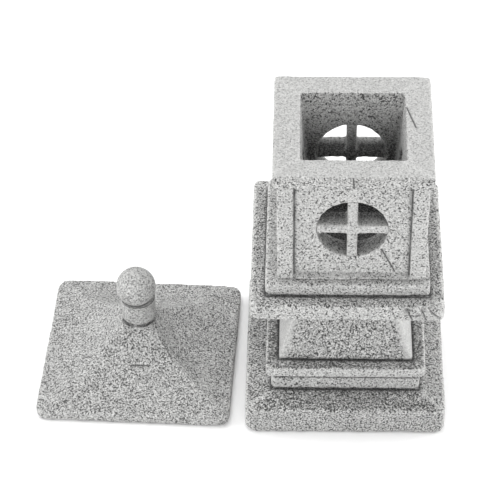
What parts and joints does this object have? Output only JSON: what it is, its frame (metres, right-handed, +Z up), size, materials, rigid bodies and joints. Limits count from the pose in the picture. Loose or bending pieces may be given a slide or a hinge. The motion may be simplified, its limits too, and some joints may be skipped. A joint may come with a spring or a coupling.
{
  "type": "stone lantern",
  "caption": "Small square garden lantern of speckled grey stone: stepped plinth, battered stem, hollow fire box with round crossed windows, and a loose swept roof with a ball.",
  "frame": {"origin": "on the ground, at the middle of the base slab's underside", "axes": "+Z up along the lantern's axis; the front faces -Y; the lifted-off roof lies on the ground towards -X"},
  "size_m": [0.4166, 0.2118, 0.3195],
  "materials": {
    "lantern_stone": "pale grey speckled stone, bush-hammered, with small dark pits",
    "roof_stone": "mid grey speckled stone, fine dense grain, lightly weathered"
  },
  "bodies": {
    "lantern": {"base_slab": "lantern_stone", "plinth_lower": "lantern_stone", "plinth_upper": "lantern_stone", "pedestal": "lantern_stone", "platform": "lantern_stone", "step_slab": "lantern_stone", "fire_box": "lantern_stone", "rim_ring": "lantern_stone", "window_cross_front": "lantern_stone", "window_cross_right": "lantern_stone", "window_cross_back": "lantern_stone", "window_cross_left": "lantern_stone"},
    "ball": {"ball_finial": "roof_stone"},
    "roof": {"roof": "roof_stone", "neck_ring": "roof_stone"}
  },
  "joints": [
    {"name": "roof_carry", "type": "hinge", "parent": "lantern", "child": "ball", "pos_m": [-0.21425, 0.00806, 0.33252], "axis": [0.0373, 0.9993, 0], "range_deg": [0, 248.17]},
    {"name": "roof_levelling", "type": "hinge", "parent": "ball", "child": "roof", "pos_m": [-0.21425, 0.00806, 0.0994], "axis": [0.0582, 0.9982, 0.0142], "range_deg": [-248.16, 0]}
  ],
  "couplings": [
    {"joint": "roof_levelling", "follows": "roof_carry", "ratio": -0.99993}
  ]
}
